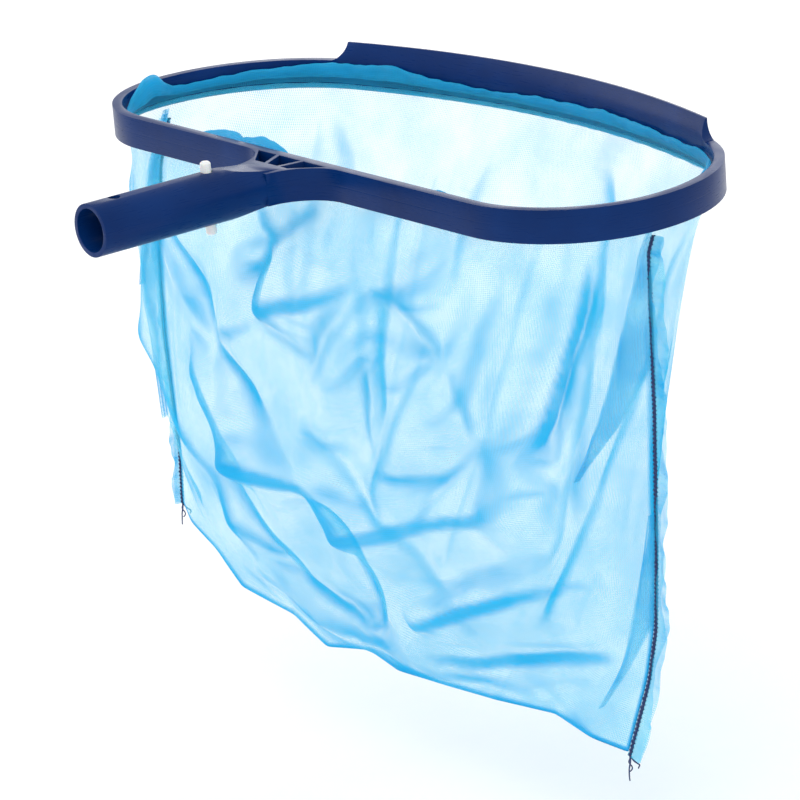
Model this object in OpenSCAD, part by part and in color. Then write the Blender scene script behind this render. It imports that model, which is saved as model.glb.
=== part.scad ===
// Leaf skimmer net: a moulded hoop with a handle tube, a snap clip and a hanging mesh bag.
// Millimetres. The origin is the centre of the handle tube's mouth, +Y runs along the tube
// towards the scoop lip, +X across the hoop and +Z up.

/* [Handle tube] */
// Outside diameter, a loose slide inside a standard pole of about 29 mm bore
tube_od = 28.6; // [24:0.1:32]
// Wall thickness
tube_wall = 2.6; // [1.8:0.1:4]
// Length of the parallel seat that the pole slides over, from the mouth
seat_l = 70; // [60:0.5:71]
// Outside diameter where the tube, widening by its draft, meets the hoop
neck_od = 29; // [28:0.1:33]
// From the mouth to the hoop's near side
tube_reach = 131; // [112:1:180]
// Depth of the bore
bore_depth = 108; // [100:1:110]
// From the mouth to the pair of holes nearest to it
spare_hole_y = 16.5; // [10:0.5:40]
// Diameter of every cross hole
cross_hole_d = 6.6; // [6.4:0.1:8]

/* [Hoop] */
// Overall width
hoop_w = 434; // [360:1:520]
// Length of the straight stretch at each end
end_flat = 1.4; // [0:0.1:60]
// Height of the band
band_h = 17.6; // [14:0.1:24]
// Thickness of the band
band_t = 5.6; // [4.5:0.1:8]
// Radius of the two corners beside the handle
near_corner_r = 70; // [45:1:74]
// Radius of the two corners beside the lip
far_corner_r = 92; // [70:1:100]
// Radius of the bowed far side
far_side_r = 520; // [400:10:900]

/* [Net groove] */
// Height of the rebate under the inside of the band
rebate_h = 4.2; // [3.6:0.1:6]
// Depth of the rebate into the band
rebate_d = 3.4; // [3.2:0.1:4]
// Width and height of the cord that holds the net in the rebate
spline_w = 2.8; // [2:0.1:3]

/* [Scoop lip] */
// Height above the band
lip_h = 10.5; // [5:0.5:16]
// Height of the upright inside step below the slope
lip_step = 2.5; // [0.5:0.5:4]
// Thickness of the lip's edge
lip_edge = 1.2; // [0.8:0.1:3]
// Half of the lip's length across the hoop
lip_half = 160; // [100:1:180]
// Radius of the hollow at each end of the lip
lip_end_r = 9; // [4:0.5:14]

/* [Web] */
// Radius of the two fillets between the tube and the hoop
web_fillet_r = 28; // [20:1:34]
// Depth of the web's pockets, measured from each face
pocket_depth = 7; // [2:0.5:7.5]
// Thickness of the ribs and walls round the pockets
rib_t = 2.6; // [1.6:0.1:4]

/* [Snap clip] */
// From the mouth to the clip's pins
clip_y = 75; // [70:0.5:80]
// Diameter of the end of each pin
pin_d = 5.8; // [4:0.1:6]
// How far each pin stands out of the tube
pin_out = 5.6; // [3:0.1:7]
// Width of the clip's arms
arm_w = 9; // [6.6:0.1:10]
// Thickness of the clip's arms
arm_t = 1.8; // [1.2:0.1:2.2]
// From the pins to the centre of the clip's bend
arm_l = 25; // [20:0.5:27]

/* [Net bag] */
// Depth of the bag at the middle
bag_depth = 292; // [200:1:360]
// Depth of the bag's two bottom corners
corner_depth = 270; // [180:1:340]
// Half of the length of the bottom fold
fold_half = 203; // [150:1:208]
// From the hoop's near side to the bottom fold, seen from above
fold_y = 33; // [10:1:90]
// Thickness of the cloth as a solid
cloth_t = 1.2; // [1:0.1:3]
// Height of the turned-up hem inside the band
hem_h = 8; // [3:0.5:12]
// Width of the seam allowance outside each side seam
allowance_w = 10; // [5:0.5:16]
// Diameter of the sewn thread line
thread_d = 2.4; // [1.2:0.1:4]
// Length of the loose thread at each bottom corner
tail_l = 14; // [5:1:25]

/* [Hidden] */

$fn = 96;
gap = 0.4;                      // free space between cloth and plastic
eps = 0.01;                     // overlap where two solids of one piece join
navy = "#1c3a78";
tube_r = tube_od / 2;
bore_r = tube_r - tube_wall;
half_w = hoop_w / 2;
half_h = band_h / 2;

// Centres of the three kinds of arc that make the hoop's outline
near_y = tube_reach;
near_c = [half_w - near_corner_r, near_y + near_corner_r];
far_c = [half_w - far_corner_r, near_c[1] + end_flat];
side_run = far_side_r - far_corner_r;
side_angle = asin(far_c[0] / side_run);
far_centre_y = far_c[1] - side_run * cos(side_angle);
hoop_l = far_centre_y + far_side_r - near_y;

// The outline, set in from the band's outer face by inset
module outline(inset) {
    r_near = near_corner_r - inset;
    r_far = far_corner_r - inset;
    r_side = far_side_r - inset;
    tangent = [r_side * sin(side_angle), far_centre_y + r_side * cos(side_angle)];
    for (side = [-1, 1]) {
        intersection() {
            translate([side * near_c[0], near_c[1]]) circle(r_near);
            translate([-hoop_w, near_y - 1]) square([2 * hoop_w, near_corner_r + 1]);
        }
        intersection() {
            translate([side * far_c[0], far_c[1]]) circle(r_far);
            translate([-hoop_w, far_c[1]]) square([2 * hoop_w, 2 * far_corner_r]);
        }
    }
    polygon([
        [-near_c[0], near_y + inset], [near_c[0], near_y + inset],
        [near_c[0] + r_near, near_c[1]], [far_c[0] + r_far, far_c[1]], tangent,
        [-tangent[0], tangent[1]], [-far_c[0] - r_far, far_c[1]], [-near_c[0] - r_near, near_c[1]]]);
    intersection() {
        translate([0, far_centre_y]) circle(r_side, $fn = 360);
        translate([-tangent[0], tangent[1] - eps]) square([2 * tangent[0], far_side_r]);
    }
}

// An upright wall that follows the hoop, from outer to inner set-in, between two heights
module band(outer, inner, z0, z1) {
    translate([0, 0, z0]) linear_extrude(z1 - z0) difference() {
        outline(outer);
        outline(inner);
    }
}

// What is cut from a tall band to leave the lip: the space where there is no lip, a hollow
// at each end and the slope of the inside face
lip_back = 20;                  // how far the lip's cut stays behind its ends
lip_start = far_c[1] + lip_back;
hollow_set = 2;

module lip_slope() {
    rise = (lip_h - lip_step) / (band_t - lip_edge);
    foot = far_side_r - band_t;
    rotate_extrude($fn = 360) polygon([[foot - 1, lip_step - rise],
        [far_side_r - lip_edge + 1 / rise, lip_h + 1], [foot - 1, lip_h + 1]]);
}

module lip_cuts() {
    translate([0, 0, half_h]) {
        translate([-hoop_w, near_y - 1, 0]) cube([2 * hoop_w, lip_start - near_y + 1, lip_h + 1]);
        translate([0, far_centre_y, 0]) lip_slope();
        for (side = [0, 1]) mirror([side, 0, 0]) {
            translate([lip_half, near_y, 0]) cube([hoop_w, hoop_l + 1, lip_h + 1]);
            translate([lip_half + hollow_set, near_y, lip_end_r]) rotate([-90, 0, 0])
                cylinder(r = lip_end_r, h = hoop_l + 1);
        }
    }
}

// Flat plan of the web, with a hollow fillet on each side of the tube
module web_plan() {
    reach = tube_r + web_fillet_r;
    difference() {
        translate([-reach, near_y - web_fillet_r])
            square([2 * reach, web_fillet_r + (band_t - rebate_d) / 2]);
        for (side = [-1, 1])
            translate([side * reach, near_y - web_fillet_r]) circle(web_fillet_r);
    }
}

// Outline of the pockets before the ribs cross them
pocket_back = near_y;
pocket_front = near_y - web_fillet_r / 2;
pocket_flare = 0.55;            // share of the fillet that the pockets spread over
pocket_wide = tube_r + web_fillet_r * pocket_flare;
pocket_narrow = tube_r;

module pocket_plan() {
    difference() {
        polygon([[-pocket_wide, pocket_back], [pocket_wide, pocket_back],
            [pocket_narrow, pocket_front], [-pocket_narrow, pocket_front]]);
        polygon([[-pocket_narrow, pocket_back + 1], [-pocket_narrow + rib_t, pocket_back + 1],
            [-rib_t, pocket_front - 1], [-2 * rib_t, pocket_front - 1]]);
        polygon([[rib_t * 3, pocket_back + 1], [rib_t * 4, pocket_back + 1],
            [rib_t * 3, pocket_front - 1], [rib_t * 2, pocket_front - 1]]);
    }
}

// The tube runs into the web; its top and bottom sweep down to the web's faces in an arc
neck_start = clip_y + cross_hole_d;
neck_end = near_y - web_fillet_r / 2 - rib_t;
tube_l = neck_end + rib_t;
sweep_set = 8;
sweep_run = neck_end + sweep_set - neck_start;
sweep_drop = tube_r - half_h;
sweep_up = (pow(sweep_run, 2) - pow(sweep_set, 2) + pow(sweep_drop, 2)) / (2 * sweep_drop);
sweep_r = sqrt(pow(sweep_up, 2) + pow(sweep_set, 2));

module neck_sweep() {
    translate([-tube_od, neck_end + sweep_set, half_h + sweep_up])
        rotate([0, 90, 0]) cylinder(r = sweep_r, h = 2 * tube_od, $fn = 360);
}

module tube() {
    difference() {
        rotate([-90, 0, 0]) rotate_extrude() polygon([[0, 0], [tube_r, 0], [tube_r, seat_l],
            [neck_od / 2, tube_l], [0, tube_l]]);
        for (side = [0, 1]) mirror([0, 0, side]) neck_sweep();
    }
}

// The bore, straight as far as the neck and then narrowing to its end
module bore() {
    end_r = half_h - tube_wall;
    rotate([-90, 0, 0]) rotate_extrude() polygon([[0, -1], [bore_r, -1], [bore_r, neck_start],
        [end_r, bore_depth], [0, bore_depth]]);
}

module cross_hole(y) {
    translate([0, y, -tube_od]) cylinder(d = cross_hole_d, h = 2 * tube_od);
}

module frame() {
    color(navy) difference() {
        union() {
            difference() {
                band(0, band_t, -half_h, half_h + lip_h);
                band(band_t - rebate_d, band_t + 1, -half_h - 1, -half_h + rebate_h);
                lip_cuts();
            }
            translate([0, 0, -half_h]) linear_extrude(band_h) web_plan();
            tube();
        }
        bore();
        for (side = [0, 1]) mirror([0, 0, side])
            translate([0, 0, half_h - pocket_depth]) linear_extrude(pocket_depth + 1) pocket_plan();
        cross_hole(clip_y);
        cross_hole(spare_hole_y);
    }
}

module net_spline() {
    slack = 0.2;
    color("#8fd2ee") band(band_t - rebate_d + slack, band_t - rebate_d + slack + spline_w,
        -half_h + (rebate_h - spline_w) / 2, -half_h + (rebate_h + spline_w) / 2);
}

cloth_in = band_t + gap;        // the cloth's outer face, set in from the band's outer face
hem_z = -half_h + rebate_h;

module net_hem() {
    color("#1f9fd8") band(cloth_in, cloth_in + cloth_t, hem_z, hem_z + hem_h);
}

fold_t = 8;
fold_mid = fold_half / 2;
fold_at = near_y + fold_y;

// Space inside a bag whose faces are set in by skin
module bag_space(skin, top) {
    hull() {
        translate([0, 0, top - 1]) linear_extrude(1) outline(cloth_in + skin, $fn = 48);
        translate([-fold_half + skin, fold_at - fold_t / 2 + skin, -corner_depth + skin])
            cube([2 * (fold_half - skin), fold_t - 2 * skin, 1]);
        translate([-fold_mid, fold_at - fold_t / 2 + skin, -bag_depth + skin])
            cube([2 * fold_mid, fold_t - 2 * skin, 1]);
    }
}

module net_bag() {
    color("#7fd4f5") difference() {
        bag_space(0, hem_z);
        bag_space(cloth_t, hem_z + 2);
    }
}

// The side seam runs from under the hoop's end to the bag's bottom corner
seam_below = 2;                 // from the band's lower edge to the seam's first stitch
seam_top = [half_w - band_t - gap, near_c[1], -half_h - seam_below];
seam_end = [fold_half, fold_at, -corner_depth];

module seam_strip(from, to) {
    // a thin plate between two distances out from the seam
    hull() {
        translate([seam_top[0] + from, seam_top[1] - cloth_t / 2, seam_top[2]])
            cube([to - from, cloth_t, 1]);
        translate([seam_end[0] + from, seam_end[1] - cloth_t / 2, seam_end[2]])
            cube([to - from, cloth_t, 1]);
    }
}

module seam_allowance() {
    color("#17a6e6") seam_strip(gap + thread_d + gap, thread_d + allowance_w);
}

module seam_thread() {
    run = seam_end - seam_top;
    reach = norm(run);
    color("#17305f") translate([seam_top[0] + gap + thread_d / 2, seam_top[1], seam_top[2]])
        rotate([0, acos(run[2] / reach), atan2(run[1], run[0])])
            cylinder(d = thread_d, h = reach, $fn = 24);
}

module thread_tail() {
    color("#17305f")
        translate([seam_end[0] + gap + thread_d / 2, seam_end[1], seam_end[2] - tail_l - gap])
            cylinder(d = thread_d / 2, h = tail_l, $fn = 24);
}

module on_left() {
    mirror([1, 0, 0]) children();
}

// The snap clip: a V of sprung strip with a pin on the end of each arm
bend_y = clip_y + arm_l;
bend_hollow = 1.2;              // inside radius of the bend
bend_r = arm_t + bend_hollow;
arm_z = sqrt(pow(bore_r, 2) - pow(arm_w / 2, 2)) - gap;
pin_slack = 0.25;
pin_foot_d = cross_hole_d - 2 * pin_slack;
pin_foot_top = tube_r + pin_slack;

module clip_bend() {
    color("white") translate([-arm_w / 2, bend_y, 0]) rotate([90, 0, 90])
        linear_extrude(arm_w) difference() {
            circle(bend_r);
            circle(bend_r - arm_t);
            translate([-2 * bend_r, -bend_r]) square([2 * bend_r, 2 * bend_r]);
        }
}

// One arm, from the bend to just past the pin
module arm() {
    tip = clip_y - pin_d;
    color("white") translate([-arm_w / 2, 0, 0]) rotate([90, 0, 90]) linear_extrude(arm_w)
        polygon([[bend_y, bend_r - arm_t], [bend_y, bend_r], [clip_y + pin_d, arm_z],
            [tip, arm_z], [tip, arm_z - arm_t], [clip_y + pin_d, arm_z - arm_t]]);
}

// The pin stands on the arm, passes the tube wall and ends in a bevelled nose
module pin() {
    nose = 1;
    pin_top = tube_r + pin_out;
    color("#f4f4f2") translate([0, clip_y, 0])
        rotate_extrude() polygon([[0, arm_z], [pin_foot_d / 2, arm_z], [pin_d / 2, pin_foot_top],
            [pin_d / 2, pin_top - nose], [pin_d / 2 - nose, pin_top], [0, pin_top]]);
}

module clip_upper_arm() { arm(); }
module clip_lower_arm() { mirror([0, 0, 1]) arm(); }
module clip_upper_pin() { pin(); }
module clip_lower_pin() { mirror([0, 0, 1]) pin(); }

frame();
net_spline();
net_hem();
net_bag();
on_left() seam_allowance();  // seam_allowance_left
seam_allowance();  // seam_allowance_right
on_left() seam_thread();  // seam_thread_left
seam_thread();  // seam_thread_right
on_left() thread_tail();  // thread_tail_left
thread_tail();  // thread_tail_right
clip_bend();
clip_upper_arm();
clip_lower_arm();
clip_upper_pin();
clip_lower_pin();
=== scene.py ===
"""Leaf skimmer net: the moulded hoop and handle, the sewn mesh bag and the snap clip.

Metres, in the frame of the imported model: the origin is the centre of the handle tube's
mouth, +Y runs to the scoop lip, +X across the hoop and +Z up.
"""

import math

import bmesh
import bpy
from mathutils import Matrix, Vector, noise


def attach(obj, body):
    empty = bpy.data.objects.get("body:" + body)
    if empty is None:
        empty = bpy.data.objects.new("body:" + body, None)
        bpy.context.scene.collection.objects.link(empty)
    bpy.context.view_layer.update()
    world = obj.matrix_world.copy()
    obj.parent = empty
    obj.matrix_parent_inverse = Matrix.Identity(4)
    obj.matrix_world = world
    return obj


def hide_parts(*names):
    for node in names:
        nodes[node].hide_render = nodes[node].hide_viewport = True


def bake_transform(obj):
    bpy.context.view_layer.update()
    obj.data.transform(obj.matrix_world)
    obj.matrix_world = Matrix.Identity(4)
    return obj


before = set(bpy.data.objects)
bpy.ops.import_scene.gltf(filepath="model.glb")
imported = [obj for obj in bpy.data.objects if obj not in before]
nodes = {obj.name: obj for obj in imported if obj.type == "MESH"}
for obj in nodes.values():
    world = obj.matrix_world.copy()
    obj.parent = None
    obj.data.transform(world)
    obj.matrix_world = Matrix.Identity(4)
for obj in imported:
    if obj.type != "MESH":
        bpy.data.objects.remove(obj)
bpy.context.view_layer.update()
MM = 0.001
scene = bpy.context.scene


# ---------------------------------------------------------------- camera, light and floor

def aim(right, down, forward, place):
    """A placement whose camera looks along forward with down towards the bottom."""
    r, u, b = Vector(right), -Vector(down), -Vector(forward)
    m = Matrix((
        (r.x, u.x, b.x, place[0] * MM),
        (r.y, u.y, b.y, place[1] * MM),
        (r.z, u.z, b.z, place[2] * MM),
        (0, 0, 0, 1)))
    return m


def make_camera():
    lens = bpy.data.cameras.new("camera")
    lens.sensor_width = 36.0
    lens.lens = 177.8
    lens.clip_end = 20.0
    camera = bpy.data.objects.new("camera", lens)
    camera.matrix_world = aim(
        (0.6215, 0.77958, -0.07743), (0.19915, -0.25281, -0.9468),
        (-0.75768, 0.57302, -0.31238), (1650.8, -1058.9, 538.3))
    scene.collection.objects.link(camera)
    scene.camera = camera


def soft_light(name, place, target, size, power):
    lamp = bpy.data.lights.new(name, "AREA")
    lamp.shape = "RECTANGLE"
    lamp.size, lamp.size_y = size
    lamp.energy = power
    holder = bpy.data.objects.new(name, lamp)
    holder.location = place
    direction = Vector(target) - Vector(place)
    holder.rotation_euler = direction.to_track_quat("-Z", "Y").to_euler()
    scene.collection.objects.link(holder)


def make_studio():
    world = bpy.data.worlds.new("studio")
    scene.world = world
    world.use_nodes = True
    sky = world.node_tree.nodes["Background"]
    sky.inputs["Color"].default_value = (1, 1, 1, 1)
    sky.inputs["Strength"].default_value = 0.92
    scene.view_settings.view_transform = "Standard"
    middle = (0.0, 0.2, -0.1)
    soft_light("key", (1.2, -1.0, 2.0), middle, (1.2, 1.2), 12)
    soft_light("side", (-1.9, -0.6, 0.8), middle, (0.9, 1.4), 7)
    soft_light("behind", (-1.2, 2.2, 0.7), middle, (2.4, 1.6), 13)

    floor_z, side = -0.36, 14.0
    bm = bmesh.new()
    bm.faces.new([bm.verts.new((x * side, y * side, floor_z))
                  for x, y in ((-1, -1), (1, -1), (1, 1), (-1, 1))])
    mesh = bpy.data.meshes.new("floor")
    bm.to_mesh(mesh)
    bm.free()
    floor = bpy.data.objects.new("floor", mesh)
    scene.collection.objects.link(floor)
    return floor


# ---------------------------------------------------------------- materials

def linear(hex_colour):
    """An sRGB hex colour as linear RGBA."""
    value = hex_colour.lstrip("#")
    out = []
    for i in (0, 2, 4):
        c = int(value[i:i + 2], 16) / 255
        out.append(c / 12.92 if c <= 0.04045 else ((c + 0.055) / 1.055) ** 2.4)
    return (*out, 1.0)


def add(tree, kind, settings=None, **links):
    """One node with its settings and links. A setting is an input's name or number, one of
    the node's own options, or the stops of a colour ramp. A link is written as
    input name = (node, output name), or i0, i1, i2 for an input by number."""
    node = tree.nodes.new("ShaderNode" + kind)
    for key, value in (settings or {}).items():
        if key == "stops":
            marks = node.color_ramp.elements
            marks.remove(marks[-1])
            marks[0].position, marks[0].color = value[0]
            for place, colour in value[1:]:
                marks.new(place).color = colour
        elif isinstance(key, int) or key in node.inputs:
            node.inputs[key].default_value = value
        else:
            setattr(node, key, value)
    for key, (source, output) in links.items():
        by_number = key[0] == "i" and key[1:].isdigit()
        socket = node.inputs[int(key[1:]) if by_number else key.replace("_", " ")]
        tree.links.new(source.outputs[output], socket)
    return node


def material(name):
    m = bpy.data.materials.new(name)
    m.use_nodes = True
    tree = m.node_tree
    return m, tree, tree.nodes["Principled BSDF"]


def moulded_polypropylene():
    """Navy polypropylene from a polished mould: glossy, with a faint flow pattern, slow
    undulation that bends the highlights, handling wear that breaks up the gloss, and a
    parting line."""
    m, tree, skin = material("moulded_polypropylene_navy")
    where = add(tree, "TexCoord")
    flow = add(tree, "TexNoise", {"Scale": 28.0, "Detail": 3.0}, Vector=(where, "Object"))
    blues = [(0.25, linear("#02255A")), (0.55, linear("#032B64")), (0.85, linear("#083370"))]
    tone = add(tree, "ValToRGB", {"stops": blues}, Fac=(flow, "Fac"))
    tree.links.new(tone.outputs["Color"], skin.inputs["Base Color"])
    # handling wear: the gloss varies in streaks about 0.6 mm apart and 12 mm long
    stretch = add(tree, "Mapping", {"Scale": (90.0, 90.0, 1600.0)}, Vector=(where, "Object"))
    scratch = add(tree, "TexNoise", {"Scale": 1.0, "Detail": 2.0}, Vector=(stretch, "Vector"))
    gloss = add(tree, "MapRange", {1: 0.35, 2: 0.75, 3: 0.27, 4: 0.34}, Value=(scratch, "Fac"))
    tree.links.new(gloss.outputs["Result"], skin.inputs["Roughness"])
    skin.inputs["IOR"].default_value = 1.49
    skin.inputs["Specular IOR Level"].default_value = 0.12
    # the mould's two halves meet at mid height: a raised line about 0.5 mm wide
    split = add(tree, "SeparateXYZ", Vector=(where, "Object"))
    height = add(tree, "Math", {"operation": "ABSOLUTE"}, i0=(split, "Z"))
    line = add(tree, "MapRange", {"interpolation_type": "SMOOTHSTEP",
                                  1: 0.10 * MM, 2: 0.45 * MM, 3: 0.0, 4: 1.0},
               Value=(height, "Value"))
    wave = add(tree, "TexNoise", {"Scale": 55.0, "Detail": 1.0}, Vector=(where, "Object"))
    mark = add(tree, "Bump", {"Strength": 0.3, "Distance": 0.0002}, Height=(line, "Result"))
    swell = add(tree, "Bump", {"Strength": 0.16, "Distance": 0.0012},
                Height=(wave, "Fac"), Normal=(mark, "Normal"))
    tree.links.new(swell.outputs["Normal"], skin.inputs["Normal"])
    return m


def woven_mesh(name, thin, thick, open_cover, fold_cover):
    """Plain-woven polyester mesh. The threads stop part of the light and pass the rest on, so each
    further layer looks deeper in colour. Along each crease the cloth is also painted deeper in
    colour and more opaque: painted shade along the folds."""
    m, tree, skin = material(name)
    where = add(tree, "UVMap", {"uv_map": "cloth"})
    # warp and weft: the real threads are 0.35 mm apart; drawn 1.1 mm apart so that they show
    pitch = 1.1 * MM
    weave = {"Scale": 2 * math.pi / (20 * pitch), "Distortion": 1.2, "Detail": 1.0,
             "Detail Scale": 0.2}
    rows = add(tree, "TexWave", {**weave, "bands_direction": "X"}, Vector=(where, "UV"))
    picks = add(tree, "TexWave", {**weave, "bands_direction": "Y"}, Vector=(where, "UV"))
    grid = add(tree, "Math", {"operation": "ADD"}, i0=(rows, "Fac"), i1=(picks, "Fac"))
    # uneven beating of the weave: clouds about 40 mm across
    cloud = add(tree, "TexNoise", {"Scale": 25.0, "Detail": 3.0}, Vector=(where, "UV"))
    # painted shade: the sharper the cloth is folded there, the deeper and more opaque its colour is
    # painted
    crease = add(tree, "Attribute", {"attribute_name": "crease"})
    body = add(tree, "Math", {"operation": "MULTIPLY_ADD", 1: 0.15},
               i0=(grid, "Value"), i2=(cloud, "Fac"))
    # the weave's own density plus the painted shade along the creases
    weave_and_painted_crease = add(tree, "Math", {"operation": "ADD"}, i0=(body, "Value"), i1=(crease, "Fac"))
    cover = add(tree, "MapRange", {1: 0.4, 2: 1.7, 3: open_cover, 4: fold_cover},
                Value=(weave_and_painted_crease, "Value"))
    tone = add(tree, "ValToRGB", {"stops": [(0.35, linear(thin)), (1.0, linear(thick))]},
               Fac=(weave_and_painted_crease, "Value"))
    relief = add(tree, "Bump", {"Strength": 0.2, "Distance": 0.0002}, Height=(grid, "Value"))
    tree.links.new(tone.outputs["Color"], skin.inputs["Base Color"])
    tree.links.new(relief.outputs["Normal"], skin.inputs["Normal"])
    skin.inputs["Roughness"].default_value = 0.5
    skin.inputs["IOR"].default_value = 1.5
    skin.inputs["Sheen Weight"].default_value = 0.25
    skin.inputs["Sheen Roughness"].default_value = 0.4
    skin.inputs["Sheen Tint"].default_value = linear("#BFEAFB")
    through = add(tree, "BsdfTranslucent", Color=(tone, "Color"), Normal=(relief, "Normal"))
    threads = add(tree, "MixShader", {0: 0.5}, i1=(skin, "BSDF"), i2=(through, "BSDF"))
    gaps = add(tree, "BsdfTransparent")
    cloth = add(tree, "MixShader", i0=(cover, "Result"), i1=(gaps, "BSDF"), i2=(threads, "Shader"))
    tree.links.new(cloth.outputs["Shader"], tree.nodes["Material Output"].inputs["Surface"])
    return m


def sewing_thread():
    """Twisted polyester thread, dark navy: matt, with fine slanting plies, the grooves between them
    painted darker as painted shade.
    """
    m, tree, skin = material("twisted_polyester_thread_navy")
    where = add(tree, "TexCoord")
    plies = add(tree, "TexWave", {"Scale": 900.0, "Distortion": 2.0, "bands_direction": "DIAGONAL"},
                Vector=(where, "Object"))
    # painted shade: the colour follows the plies' bump, darker in the grooves between the plies
    tone = add(tree, "ValToRGB", {"stops": [(0.2, linear("#0E1C44")), (0.8, linear("#24407E"))]},
               Fac=(plies, "Fac"))
    tree.links.new(tone.outputs["Color"], skin.inputs["Base Color"])
    relief = add(tree, "Bump", {"Strength": 0.6, "Distance": 0.0002}, Height=(plies, "Fac"))
    tree.links.new(relief.outputs["Normal"], skin.inputs["Normal"])
    skin.inputs["Roughness"].default_value = 0.7
    skin.inputs["Sheen Weight"].default_value = 0.2
    return m


def moulded_nylon():
    """Natural white nylon, moulded: waxy, a little translucent, with a fine spark texture."""
    m, tree, skin = material("moulded_nylon_white")
    where = add(tree, "TexCoord")
    spark = add(tree, "TexNoise", {"Scale": 1800.0, "Detail": 2.0}, Vector=(where, "Object"))
    tone = add(tree, "ValToRGB", {"stops": [(0.3, linear("#E3E4E4")), (0.7, linear("#F3F4F3"))]},
               Fac=(spark, "Fac"))
    tree.links.new(tone.outputs["Color"], skin.inputs["Base Color"])
    relief = add(tree, "Bump", {"Strength": 0.12, "Distance": 0.0002}, Height=(spark, "Fac"))
    tree.links.new(relief.outputs["Normal"], skin.inputs["Normal"])
    skin.inputs["Roughness"].default_value = 0.38
    skin.inputs["Subsurface Weight"].default_value = 0.15
    skin.inputs["Subsurface Scale"].default_value = 0.002
    return m


def painted_floor():
    """Matt white studio sweep: even, with the faintest grain."""
    m, tree, skin = material("matt_white_board")
    where = add(tree, "TexCoord")
    grain = add(tree, "TexNoise", {"Scale": 40.0, "Detail": 2.0}, Vector=(where, "Object"))
    tone = add(tree, "ValToRGB", {"stops": [(0.0, linear("#FCFCFC")), (1.0, linear("#FFFFFF"))]},
               Fac=(grain, "Fac"))
    tree.links.new(tone.outputs["Color"], skin.inputs["Base Color"])
    skin.inputs["Roughness"].default_value = 0.9
    skin.inputs["Specular IOR Level"].default_value = 0.1
    return m


# ---------------------------------------------------------------- the hoop's outline

# The same sizes as the moulding's, in millimetres
NEAR_Y, HALF_W, NEAR_R, FAR_R, SIDE_R, END_FLAT = 131.0, 217.0, 70.0, 92.0, 520.0, 1.4
CLOTH_IN = 6.0                      # from the hoop's outside to the cloth
NEAR_C = (HALF_W - NEAR_R, NEAR_Y + NEAR_R)
FAR_C = (HALF_W - FAR_R, NEAR_C[1] + END_FLAT)
SIDE_ANGLE = math.asin(FAR_C[0] / (SIDE_R - FAR_R))
FAR_CENTRE = FAR_C[1] - (SIDE_R - FAR_R) * math.cos(SIDE_ANGLE)


def hoop_path(inset):
    """Half of the hoop's outline as (x, y) points, from the middle of the near side, round
    the right end, to the middle of the far side."""
    points = [(0.0, NEAR_Y + inset)]
    r = NEAR_R - inset
    for i in range(25):
        a = -math.pi / 2 + math.pi / 2 * i / 24
        points.append((NEAR_C[0] + r * math.cos(a), NEAR_C[1] + r * math.sin(a)))
    r = FAR_R - inset
    for i in range(25):
        a = (math.pi / 2 - SIDE_ANGLE) * i / 24
        points.append((FAR_C[0] + r * math.cos(a), FAR_C[1] + r * math.sin(a)))
    r = SIDE_R - inset
    for i in range(1, 25):
        a = SIDE_ANGLE * (1 - i / 24)
        points.append((r * math.sin(a), FAR_CENTRE + r * math.cos(a)))
    return points


def along(points, shares):
    """Points at the given shares, 0 to 1, of a polyline's length."""
    lengths = [0.0]
    for p, q in zip(points, points[1:]):
        lengths.append(lengths[-1] + math.dist(p, q))
    out, k = [], 0
    for share in shares:
        want = min(max(share, 0.0), 1.0) * lengths[-1]
        while k < len(points) - 2 and lengths[k + 1] < want:
            k += 1
        step = lengths[k + 1] - lengths[k]
        f = (want - lengths[k]) / step if step else 0.0
        out.append(tuple(a + (b - a) * f for a, b in zip(points[k], points[k + 1])))
    return out


def near_half(inset, count):
    """The near side from the left seam to the right seam, count points evenly spaced."""
    half = [p for p in hoop_path(inset) if p[1] <= SEAM_Y + 0.01]
    whole = [(-x, y) for x, y in reversed(half)] + half[1:]
    return along(whole, [i / (count - 1) for i in range(count)])


def far_half(inset, count):
    """The far side from the left seam to the right seam, count points evenly spaced."""
    half = [p for p in hoop_path(inset) if p[1] >= SEAM_Y - 0.01]
    whole = [(-x, y) for x, y in half] + [p for p in reversed(half[:-1])]
    return along(whole, [i / (count - 1) for i in range(count)])


SEAM_Y = NEAR_C[1]


def new_piece(name, verts, faces, body="frame"):
    mesh = bpy.data.meshes.new(name)
    mesh.from_pydata([tuple(c * MM for c in v) for v in verts], [], faces)
    mesh.update()
    piece = bpy.data.objects.new(name, mesh)
    scene.collection.objects.link(piece)
    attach(piece, body)
    return piece


def smooth(piece, angle=None):
    for face in piece.data.polygons:
        face.use_smooth = True
    if angle is not None:
        piece.data.set_sharp_from_angle(angle=math.radians(angle))


def settle(piece):
    """Applies the piece's modifiers to its mesh."""
    deps = bpy.context.evaluated_depsgraph_get()
    done = bpy.data.meshes.new_from_object(piece.evaluated_get(deps))
    piece.modifiers.clear()
    piece.shape_key_clear()
    piece.data = done


# ---------------------------------------------------------------- the bag

CUT_W, CUT_D = 485.0, 312.0         # one panel of the bag, seam to seam and hem to fold
BAG_TOP = -4.6                      # where the cloth leaves the band, height in millimetres

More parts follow.
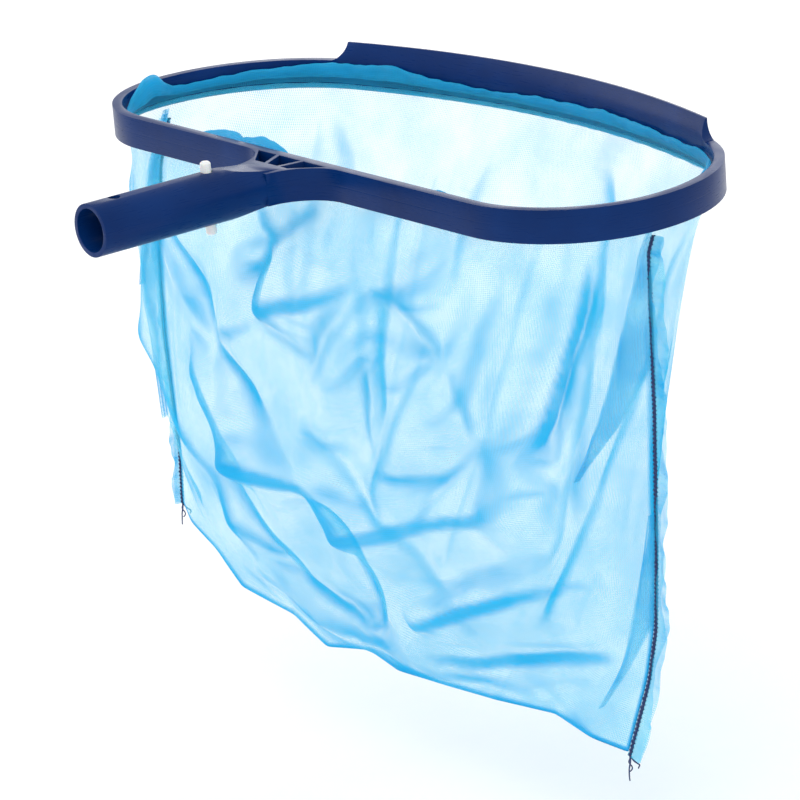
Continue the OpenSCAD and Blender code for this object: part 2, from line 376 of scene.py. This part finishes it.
# How the slack of the near panel lies: each fold runs between two places on the panel,
# as shares across from the left seam and down from the hem, and stands out by so many
# millimetres over so many millimetres of width.
NEAR_FOLDS = [
    (0.30, 0.44, 0.44, 0.55, 24, 22), (0.44, 0.55, 0.64, 0.62, 26, 20),
    (0.64, 0.62, 0.84, 0.56, 22, 18), (0.36, 0.34, 0.55, 0.20, 18, 24),
    (0.55, 0.20, 0.76, 0.10, 18, 24), (0.52, 0.62, 0.54, 0.90, -20, 18),
    (0.74, 0.12, 0.86, 0.52, 18, 22), (0.08, 0.15, 0.14, 0.45, 20, 16),
    (0.14, 0.45, 0.28, 0.78, 22, 18), (0.17, 0.12, 0.40, 0.42, -16, 18),
    (0.93, 0.02, 0.86, 0.42, -26, 14), (0.99, 0.10, 0.93, 0.50, 22, 13),
    (0.66, 0.82, 0.92, 0.70, 18, 14), (0.70, 0.94, 0.96, 0.84, -14, 12),
    (0.05, 0.50, 0.12, 0.90, -16, 14), (0.42, 0.02, 0.50, 0.22, 18, 12),
    (0.52, 0.02, 0.42, 0.20, -16, 12), (0.30, 0.90, 0.56, 0.96, 12, 10),
    (0.26, 0.70, 0.46, 0.90, -18, 20), (0.05, 0.06, 0.06, 0.72, 15, 9),
    (0.10, 0.12, 0.13, 0.85, -14, 9)]
FAR_FOLDS = [
    (0.20, 0.10, 0.35, 0.60, -18, 24), (0.45, 0.05, 0.40, 0.70, 16, 26),
    (0.62, 0.10, 0.72, 0.75, -18, 24), (0.85, 0.10, 0.80, 0.80, 14, 18),
    (0.25, 0.70, 0.60, 0.90, -14, 18)]


def fold_height(folds, across, down):
    """How far the cloth stands out at a place on the panel."""
    total = 0.0
    x, y = across * CUT_W, down * CUT_D
    for a0, d0, a1, d1, rise, width in folds:
        ax, ay, bx, by = a0 * CUT_W, d0 * CUT_D, a1 * CUT_W, d1 * CUT_D
        run = max((bx - ax) ** 2 + (by - ay) ** 2, 1.0)
        t = min(max(((x - ax) * (bx - ax) + (y - ay) * (by - ay)) / run, 0.0), 1.0)
        away = math.hypot(x - ax - t * (bx - ax), y - ay - t * (by - ay))
        total += rise * math.exp(-(away / width) ** 1.3)
    return total


def bottom_fold(count):
    """The bottom fold from the left corner to the right corner as it hangs."""
    marks = [
        (-206, 177, -247), (-186, 168, -253), (-155, 163, -261), (-125, 158, -276),
        (-82, 163, -284), (-46, 158, -293), (-14, 164, -288), (19, 158, -290), (54, 164, -291),
        (106, 157, -283), (148, 163, -281), (180, 160, -285), (205, 165, -288)]
    return along(marks, [i / (count - 1) for i in range(count)])


# The side seams as they hang: height, then place along Y
LEFT_SEAM = [(-5, 200), (-40, 187), (-93, 179), (-137, 177), (-182, 178), (-215, 179), (-247, 177)]
RIGHT_SEAM = [(-5, 201), (-20, 194), (-108, 193), (-183, 190), (-227, 187), (-253, 181),
              (-288, 165)]


def off_line(seam, share):
    """How far a side seam lies from the straight line between its ends, along Y."""
    (_, first), (_, last) = seam[0], seam[-1]
    return along(seam, [share])[0][1] - (first + (last - first) * share)


def make_bag(finish):
    """The bag as one cloth, folded at the bottom and sewn at both sides, then let hang.
    Returns the two side seams as points in millimetres."""
    across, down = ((110, 70))
    near, far = near_half(CLOTH_IN + 0.4, across + 1), far_half(CLOTH_IN + 0.4, across + 1)
    fold = bottom_fold(across + 1)
    verts, flat, faces, grid = [], [], [], {}
    for side, top in ((0, near), (1, far)):
        for i in range(across + 1):
            for j in range(down + 1):
                if side == 1 and (i in (0, across) or j == down):
                    grid[side, i, j] = grid[0, i, j]
                    continue
                u, s = i / across, j / down
                (x0, y0), (fx, fy, fz) = top[i], fold[i]
                ends = min(1.0, 3 * u, 6 * (1 - u)) * min(1.0, 7 * min(s, 1 - s))
                ripple = 4 * noise.noise(Vector((u * 9, s * 7, side * 9.0)))
                out = fold_height(FAR_FOLDS if side else NEAR_FOLDS, u, s) + ripple
                belly = (-12 if side == 0 else 6) * math.sin(math.pi * s)
                x = x0 + (fx - x0) * s + 3 * ends * noise.noise(Vector((u * 12, s * 9, 3 + side)))
                pull = off_line(LEFT_SEAM, s) * (1 - u) ** 4 + off_line(RIGHT_SEAM, s) * u ** 4
                y = y0 + (fy - y0) * s + ends * (belly - out) + pull
                z = BAG_TOP + (fz - BAG_TOP) * s
                grid[side, i, j] = len(verts)
                verts.append((x, y, z))
                flat.append((CUT_W * (u - 0.5) * (1 - 0.06 * s), side - 0.5, -CUT_D * s))
    for side in (0, 1):
        for i in range(across):
            for j in range(down):
                loop = [grid[side, i, j], grid[side, i + 1, j],
                        grid[side, i + 1, j + 1], grid[side, i, j + 1]]
                faces.append(loop if side == 0 else loop[::-1])
    piece = new_piece("bag_cloth", verts, faces)
    layer = piece.data.uv_layers.new(name="cloth")
    for face in piece.data.polygons:
        for k in face.loop_indices:
            v = flat[piece.data.loops[k].vertex_index]
            layer.data[k].uv = (v[0] * MM, v[2] * MM)
    pins = piece.vertex_groups.new(name="sewn")
    for (side, i, j), v in grid.items():
        if j == 0 or i in (0, across) or j == down:
            pins.add([v], 1.0, "REPLACE")
    piece.shape_key_add(name="hung")
    cut = piece.shape_key_add(name="cut")
    for k, v in enumerate(flat):
        cut.data[k].co = tuple(c * MM for c in v)
    cut.value = 0.0
    cloth = piece.modifiers.new("cloth", "CLOTH")
    stuff = cloth.settings
    stuff.quality = 8
    stuff.mass = 0.05
    stuff.air_damping = 3.0
    stuff.tension_stiffness = stuff.compression_stiffness = 15
    stuff.shear_stiffness = 5
    stuff.bending_model = "ANGULAR"
    stuff.bending_stiffness = 0.35
    stuff.tension_damping = stuff.compression_damping = stuff.shear_damping = 5
    stuff.bending_damping = 0.5
    stuff.rest_shape_key = cut
    stuff.vertex_group_mass = "sewn"
    stuff.pin_stiffness = 1.0
    cloth.collision_settings.use_collision = False
    cloth.collision_settings.use_self_collision = False
    scene.gravity = (0.0, -1.2, -3.0)
    last = 34
    cloth.point_cache.frame_start, cloth.point_cache.frame_end = 1, last
    for step in range(1, last + 1):
        scene.frame_set(step)
    settle(piece)
    scene.frame_set(1)
    calm = piece.modifiers.new("calm", "SMOOTH")
    calm.factor, calm.iterations, calm.vertex_group = 0.5, 3, "sewn"
    calm.invert_vertex_group = True
    settle(piece)
    tuck_sides(piece, grid, across, down)
    seams = [[piece.data.vertices[grid[0, i, j]].co / MM for j in range(down + 1)]
             for i in (0, across)]
    finer = piece.modifiers.new("finer", "SUBSURF")
    finer.levels = finer.render_levels = 1
    settle(piece)
    smooth(piece)
    mark_painted_crease_shade(piece)
    piece.data.materials.append(finish)
    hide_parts("net_bag")
    return seams


# The pleats beside the seams: which seam (0 left, 1 right), how far across it reaches, where
# it starts and ends going down, and how far it bows sideways in millimetres.
TUCKS = [
    (1.0, -0.066, 0.02, 0.48, 2.2), (0.0, 0.085, 0.03, 0.70, -2.0),
    (0.0, 0.05, 0.02, 0.40, 1.5), (1.0, -0.05, 0.55, 0.93, 2.0)]


def tuck_sides(piece, grid, across, down):
    """Adds the pleats beside the seams, where the near panel lies doubled over itself. Each
    is a triangle that widens going down, then closes to a point away from the seam."""
    steps, wide_steps = 40, 12
    bm = bmesh.new()
    bm.from_mesh(piece.data)
    layer = bm.loops.layers.uv["cloth"]
    at = [v.co.copy() for v in piece.data.vertices]

    def on_panel(u, s):
        x, y = min(max(u, 0.0), 0.9999) * across, min(max(s, 0.0), 0.9999) * down
        i, j = int(x), int(y)
        fx, fy = x - i, y - j
        a, b, c, d = (at[grid[0, i + m, j + n]] for m, n in ((0, 0), (1, 0), (0, 1), (1, 1)))
        return (a * (1 - fx) + b * fx) * (1 - fy) + (c * (1 - fx) + d * fx) * fy

    for seam, wide, start, end, turn in TUCKS:
        for ply in (1, 2, 3):
            rows = []
            for n in range(steps + 1):
                s = start + (end - start) * n / steps
                edge = wide * (n / steps) ** 0.9
                back = wide * max(0.0, n / steps - 0.55) / 0.45
                row = []
                for k in range(wide_steps + 1):
                    u = seam + back + (edge - back) * k / wide_steps
                    lift = ply * (0.9 + 0.9 * math.sin(math.pi * k / wide_steps))
                    bow = turn * math.sin(math.pi * n / steps) * k / wide_steps
                    place = on_panel(u, s) + Vector((bow * MM, -lift * MM, 0))
                    row.append((bm.verts.new(place), (u - 0.5) * CUT_W * MM, -s * CUT_D * MM))
                rows.append(row)
            for upper, lower in zip(rows, rows[1:]):
                for k in range(wide_steps):
                    corners = (upper[k], upper[k + 1], lower[k + 1], lower[k])
                    face = bm.faces.new([c[0] for c in corners])
                    for loop, corner in zip(face.loops, corners):
                        loop[layer].uv = (corner[1], corner[2])
    bm.to_mesh(piece.data)
    bm.free()


def mark_painted_crease_shade(piece, soft=0.06, full=0.22):
    """Stores how sharply the cloth is folded at each corner, 0 to 1, from its angles; the cloth's
    material paints the folds deeper in colour from it, a painted shade along the folds.
    """
    bm = bmesh.new()
    bm.from_mesh(piece.data)
    sharp = []
    for v in bm.verts:
        turns = [e.calc_face_angle(0.0) for e in v.link_edges if len(e.link_faces) == 2]
        sharp.append(max(turns) if turns else 0.0)
    sharp = [0.5 * sharp[v.index] + 0.5 * sum(sharp[e.other_vert(v).index]
                                              for e in v.link_edges)
             / max(len(v.link_edges), 1) for v in bm.verts]
    bm.free()
    # painted shade along the folds, read by the mesh material
    store = piece.data.attributes.new("crease", "FLOAT", "POINT")
    store.data.foreach_set("value", [min(max(a - soft, 0.0) / full, 1.0) for a in sharp])


# ---------------------------------------------------------------- hem, cord, seams and thread

def strip(name, rows, finish, widths):
    """Cloth between rows of points. widths is the flat distance of each row from the first."""
    count = len(rows[0])
    verts = [p for row in rows for p in row]
    faces = [(r * count + k, r * count + k + 1, (r + 1) * count + k + 1, (r + 1) * count + k)
             for r in range(len(rows) - 1) for k in range(count - 1)]
    piece = new_piece(name, verts, faces)
    run = [0.0]
    for a, b in zip(rows[0], rows[0][1:]):
        run.append(run[-1] + math.dist(a, b))
    layer = piece.data.uv_layers.new(name="cloth")
    for face in piece.data.polygons:
        for k in face.loop_indices:
            r, c = divmod(piece.data.loops[k].vertex_index, count)
            layer.data[k].uv = (run[c] * MM, widths[r] * MM)
    smooth(piece)
    mark_painted_crease_shade(piece)
    piece.data.materials.append(finish)
    return piece


def ring(inset, count):
    """Evenly spaced points once round the hoop, starting at the left seam, near side first."""
    near = near_half(inset, count // 2 + 1)
    far = far_half(inset, count // 2 + 1)
    return near[:-1] + list(reversed(far))


HEM_RISES = [                       # x, y, how far the hem bunches up there, over how far
    (-206, 181, 13.0, 15), (-196, 166, 5.0, 12), (-78, 137, 9.0, 26), (-36, 137, 9.5, 24),
    (-120, 300, 6.0, 12), (-150, 288, 5.0, 45), (-100, 303, 3.0, 9), (118, 138, 5.0, 30),
    (168, 143, 4.0, 22), (20, 137, 3.0, 34), (60, 305, 2.5, 40), (190, 250, 3.0, 30)]


def make_hem(finish):
    """The raw edge of the cloth, turned up inside the band and rolled over."""
    count = 480
    base = ring(CLOTH_IN + 0.5, count)
    inner = ring(CLOTH_IN + 4.5, count)
    profile = [(0.0, 0.0), (0.05, 0.35), (0.2, 0.7), (0.35, 0.93), (0.6, 1.0), (0.85, 0.93),
               (1.0, 0.75), (0.9, 0.55), (0.95, 0.35)]
    rows, widths = [], [0.0]
    for step, (inward, up) in enumerate(profile):
        row = []
        for k, (x, y) in enumerate(base):
            bunch = sum(rise * math.exp(-((x - hx) ** 2 + (y - hy) ** 2) / reach ** 2)
                        for hx, hy, rise, reach in HEM_RISES)
            a = 2 * math.pi * k / count
            loose = noise.noise(Vector((math.cos(a) * 9, math.sin(a) * 9, step * 0.15)))
            fine = noise.noise(Vector((math.cos(a) * 26, math.sin(a) * 26, step * 0.3 + 5)))
            taller = 2.2 * min(max((y - 200) / 60, 0.0), 1.0)     # on the far side
            height = 5.6 + taller + bunch + 1.8 * loose + 0.9 * fine
            depth = (0.45 + 0.12 * bunch) * (1 + 0.6 * loose) * inward
            ix, iy = inner[k]
            row.append((x + (ix - x) * depth, y + (iy - y) * depth, BAG_TOP + 0.4 + height * up))
        rows.append(row)
        if step:
            below = rows[-2]
            rise = 0.5 * (math.dist(below[0], row[0]) + math.dist(below[99], row[99]))
            widths.append(widths[-1] + rise)
    piece = strip("hem_roll", rows, finish, widths)
    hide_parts("net_hem")
    return piece


def tube(name, path, radii, finish, sides=8, closed=False):
    """A round cord along path, with the given radius or one radius for each point."""
    if not hasattr(radii, "__len__"):
        radii = [radii] * len(path)
    points = [Vector(p) for p in path]
    count = len(points)
    verts, faces, run = [], [], [0.0]
    normal = None
    for k, p in enumerate(points):
        before = points[k - 1] if k or closed else p
        after = points[(k + 1) % count] if k < count - 1 or closed else p
        ahead = (after - before).normalized()
        if normal is None:
            normal = ahead.orthogonal().normalized()
        normal = (normal - ahead * normal.dot(ahead)).normalized()
        side = ahead.cross(normal)
        for a in range(sides):
            turn = 2 * math.pi * a / sides
            verts.append(tuple(p + radii[k] * (math.cos(turn) * normal + math.sin(turn) * side)))
        if k:
            run.append(run[-1] + (p - points[k - 1]).length)
    spans = count if closed else count - 1
    for k in range(spans):
        n = (k + 1) % count
        for a in range(sides):
            b = (a + 1) % sides
            faces.append((k * sides + a, k * sides + b, n * sides + b, n * sides + a))
    if not closed:
        faces.append(tuple(range(sides))[::-1])
        faces.append(tuple(range((count - 1) * sides, count * sides)))
    piece = new_piece(name, verts, faces)
    layer = piece.data.uv_layers.new(name="cloth")
    for face in piece.data.polygons:
        for k in face.loop_indices:
            r, c = divmod(piece.data.loops[k].vertex_index, sides)
            layer.data[k].uv = (run[r] * MM, c * 2 * math.pi * radii[r] / sides * MM)
    smooth(piece)
    if finish:
        piece.data.materials.append(finish)
    return piece


def join(name, pieces):
    """One piece from several."""
    bm = bmesh.new()
    for p in pieces:
        bm.from_mesh(p.data)
    mesh = pieces[0].data
    bm.to_mesh(mesh)
    bm.free()
    for p in pieces[1:]:
        bpy.data.objects.remove(p)
    pieces[0].name = name
    return pieces[0]


def make_cord(finish):
    """The cord that wedges the cloth in the rebate, wrapped in the cloth."""
    path = [(x, y, -6.7 + 0.25 * math.sin(k * 0.9)) for k, (x, y) in enumerate(ring(3.8, 360)[:-1])]
    radii = [1.35 + 0.12 * noise.noise(Vector((k * 0.35, 0, 0))) for k in range(len(path))]
    piece = tube("groove_cord", path, radii, finish, sides=10, closed=True)
    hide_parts("net_spline")
    return piece


def seam_run(seam, side, drop=7.0):
    """The seam's line from just under the band, a little outside the cloth's corner."""
    shown = [p for p in seam if p.z < BAG_TOP - drop]
    count = 150
    return [Vector(p) + Vector((side * 0.2, 0, 0))
            for p in along([tuple(q) for q in shown], [k / (count - 1) for k in range(count)])]


def make_allowance(name, run, side, finish, node):
    """The two raw edges outside the side seam, ruffled by the overlock stitch."""
    plies = []
    for ply in (-1, 1):
        rows = []
        for step in range(7):
            t = step / 6
            row = []
            for k, p in enumerate(run):
                s = k / (len(run) - 1)
                flare = noise.noise(Vector((s * 11, side * 3.0, ply * 0.6)))
                fine = noise.noise(Vector((s * 34, side * 5.0, ply + t)))
                width = 8.5 * (1 + 0.3 * flare) * (1.15 if s > 0.93 else 1.0)
                sway = (5.0 * flare + 1.6 * fine) * t
                row.append((p.x + side * (width * t - 1.8), p.y + sway + ply * (0.3 + 0.5 * t),
                            p.z - 2.0 * t * s + 0.8 * fine * t))
            rows.append(row)
        widths = [9.5 * k / 6 for k in range(7)]
        plies.append(strip(f"{name}_{ply}", rows, finish, widths))
    piece = join(name, plies)
    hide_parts(node)
    return piece


def make_thread(name, run, side, finish, replaced):
    """The overlock: a thread wound round the seam's edge, with loose ends at the corner."""
    length = sum((b - a).length for a, b in zip(run, run[1:]))
    turns = int(length / 2.3)                   # one stitch each 2.3 mm
    points = along([tuple(p) for p in run], [k / (turns * 8) for k in range(turns * 8 + 1)])
    wound = []
    for k, p in enumerate(points):
        a = 2 * math.pi * k / 8
        slack = 1 + 0.35 * noise.noise(Vector((k * 0.11, side * 7.0, 0)))
        wound.append((p[0] + 0.95 * math.cos(a) * slack, p[1] + 0.95 * math.sin(a) * slack, p[2]))
    core = tube(name, [tuple(p) for p in run], 0.8, None, sides=8)
    loops = tube(name + "_loops", wound, 0.42, None, sides=6)
    ends = []
    end = run[-1]
    for number, (dx, dy, dz) in enumerate(((2, -3, -12), (-3, 2, -10), (5, 3, -7))):
        path = []
        for k in range(15):
            t = k / 14
            curl = 1.6 * math.sin(t * 7 + number * 2)
            wave = 0.8 * math.cos(t * 9) * t
            path.append((end.x + dx * t + curl * t, end.y + dy * t + wave, end.z + dz * t))
        thin = [0.5 - 0.15 * k / 14 for k in range(15)]
        ends.append(tube(f"{name}_end{number}", path, thin, None, sides=6))
    piece = join(name, [core, loops] + ends)
    smooth(piece)
    piece.data.materials.append(finish)
    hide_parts(*replaced)
    return piece


# ---------------------------------------------------------------- the snap clip

def softened(node, name, body, finish, width):
    """The node's shape with its edges rounded by width millimetres."""
    mesh = nodes[node].data.copy()
    mesh.name = name
    bm = bmesh.new()
    bm.from_mesh(mesh)
    bmesh.ops.remove_doubles(bm, verts=bm.verts, dist=0.02 * MM)
    bmesh.ops.dissolve_limit(bm, angle_limit=math.radians(0.6), verts=bm.verts, edges=bm.edges)
    bm.to_mesh(mesh)
    bm.free()
    piece = bpy.data.objects.new(name, mesh)
    scene.collection.objects.link(piece)
    if body:
        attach(piece, body)
    edges = piece.modifiers.new("edges", "BEVEL")
    edges.width = width * MM
    edges.segments = 3
    edges.limit_method = "ANGLE"
    edges.angle_limit = math.radians(40)
    settle(piece)
    smooth(piece, 40)
    piece.data.materials.clear()
    piece.data.materials.append(finish)
    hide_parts(node)
    return piece


def make_clip(finish):
    softened("clip_bend", "clip_bend_strip", "frame", finish, 0.3)
    for level in ("upper", "lower"):
        softened(f"clip_{level}_pin", f"clip_{level}_stud", f"{level}_pin", finish, 0.5)
        arm = softened(f"clip_{level}_arm", f"clip_{level}_spring", None, finish, 0.3)
        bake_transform(arm)


# ---------------------------------------------------------------- build

make_camera()
floor = make_studio()
floor.data.materials.append(painted_floor())

navy = moulded_polypropylene()
mesh_cloth = woven_mesh("woven_polyester_mesh_sky_blue", "#78E4F8", "#06BCEE", 0.22, 0.98)
edge_cloth = woven_mesh("woven_polyester_mesh_doubled", "#3ADCF4", "#10BEEE", 0.34, 0.85)
thread = sewing_thread()
nylon = moulded_nylon()

softened("frame", "hoop_and_handle", "frame", navy, 0.6)
seams = make_bag(mesh_cloth)
make_hem(edge_cloth)
make_cord(edge_cloth)
for side, word, seam in ((-1, "left", seams[0]), (1, "right", seams[1])):
    run = seam_run(seam, side)
    make_allowance(f"raw_edges_{word}", run, side, edge_cloth, f"seam_allowance_{word}")
    make_thread(f"overlock_{word}", run, side, thread,
                (f"seam_thread_{word}", f"thread_tail_{word}"))
make_clip(nylon)
